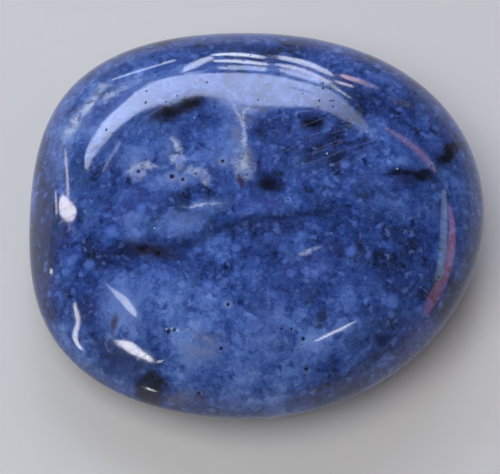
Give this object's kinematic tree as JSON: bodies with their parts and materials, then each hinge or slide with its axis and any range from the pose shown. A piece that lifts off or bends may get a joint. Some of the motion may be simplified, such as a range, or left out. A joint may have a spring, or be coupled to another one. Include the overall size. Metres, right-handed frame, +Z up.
{
  "type": "polished dumortierite palm stone",
  "caption": "Flat rounded pebble of blue dumortierite with a high polish, to hold in the hand or set down as an ornament.",
  "frame": {"origin": "centre of the bounding box at the level of the surface that the stone lies on", "axes": "+X along the stone's longest side, +Y across its flat face, +Z up out of its flat face"},
  "size_m": [0.0472, 0.0422, 0.0148],
  "materials": {
    "dumortierite": "polished"
  },
  "bodies": {
    "root": {"palm_stone": "dumortierite"}
  },
  "joints": []
}
